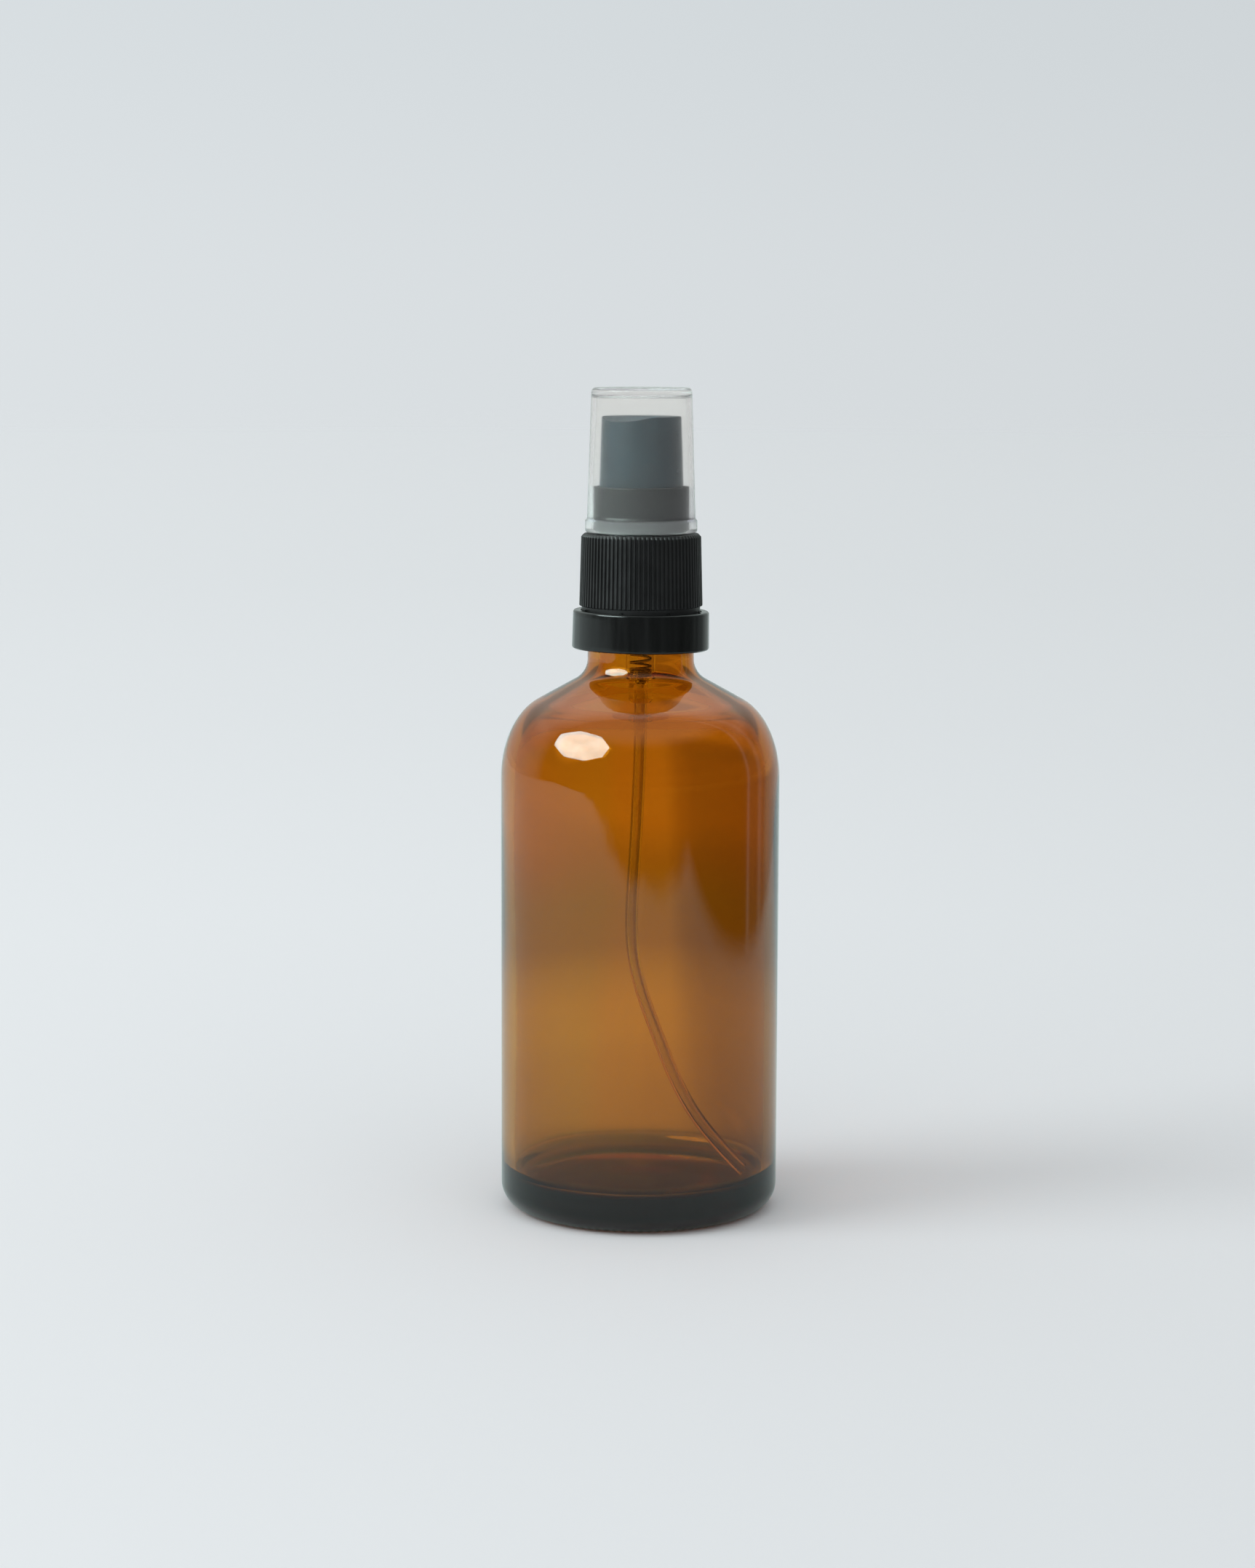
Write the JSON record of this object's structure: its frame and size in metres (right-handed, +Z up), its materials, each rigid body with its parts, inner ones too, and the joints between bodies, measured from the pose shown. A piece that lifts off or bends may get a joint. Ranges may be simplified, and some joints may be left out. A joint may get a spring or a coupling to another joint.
{
  "type": "spray bottle",
  "caption": "Round-shouldered amber glass bottle with a ribbed black screw closure, fine-mist finger pump, tamper ring, dip tube and clear overcap.",
  "frame": {"origin": "centre of the glass ring that the bottle stands on, in its resting plane", "axes": "+Z up along the bottle's axis; -Y is the way the nozzle sprays; +X completes the right-handed frame"},
  "size_m": [0.0468, 0.0468, 0.1386],
  "materials": {
    "amber_glass": "clear amber glass, gloss",
    "ring_black": "smooth moulded, satin gloss",
    "closure_black": "moulded, fine satin",
    "actuator_black": "moulded, satin",
    "insert_black": "moulded, satin",
    "overcap_clear": "translucent natural, smooth",
    "housing_natural": "translucent natural",
    "tube_natural": "extruded, translucent",
    "inner_white": "moulded",
    "soft_white": "soft moulded",
    "steel": "drawn wire"
  },
  "bodies": {
    "bottle": {"bottle": "amber_glass"},
    "tamper_ring": {"tamper_ring": "ring_black"},
    "pump": {"pump_housing": "housing_natural", "neck_gasket": "soft_white", "turret": "inner_white", "dip_tube": "tube_natural", "main_spring": "steel"},
    "closure": {"screw_closure": "closure_black"},
    "plunger": {"stem": "inner_white", "valve_rod": "inner_white"},
    "piston": {"piston": "soft_white"},
    "ball": {"check_ball": "steel"},
    "actuator": {"actuator": "actuator_black", "nozzle_insert": "insert_black"},
    "overcap": {"overcap": "overcap_clear"}
  },
  "joints": [
    {"name": "pump_lift", "type": "slide", "parent": "bottle", "child": "pump", "axis": [0, 0, 1], "range_m": [0, 0.0045]},
    {"name": "closure_turn", "type": "hinge", "parent": "pump", "child": "closure", "pos_m": [0, 0, 0.108], "axis": [0, 0, 1], "range_deg": [0, 540]},
    {"name": "press_stroke", "type": "slide", "parent": "pump", "child": "plunger", "axis": [0, 0, -1], "range_m": [0, 0.0045], "stiffness_N_per_m": 700, "springref_m": -0.006, "deforming": ["main_spring"]},
    {"name": "piston_slip", "type": "slide", "parent": "plunger", "child": "piston", "axis": [0, 0, 1], "range_m": [0, 0.0004]},
    {"name": "ball_lift", "type": "slide", "parent": "pump", "child": "ball", "axis": [0, 0, 1], "range_m": [0, 0.0005]},
    {"name": "actuator_swivel", "type": "hinge", "parent": "plunger", "child": "actuator", "pos_m": [0, 0, 0.1243], "axis": [0, 0, 1], "continuous": true},
    {"name": "overcap_pull", "type": "slide", "parent": "closure", "child": "overcap", "axis": [0, 0, 1], "range_m": [0, 0.03]},
    {"name": "tamper_ring_spin", "type": "hinge", "parent": "bottle", "child": "tamper_ring", "pos_m": [0, 0, 0.0984], "axis": [-0.0114, -0.008, 0.9999], "continuous": true}
  ],
  "couplings": [
    {"joint": "closure_turn", "follows": "pump_lift", "rad_per_m": 2094.4}
  ]
}
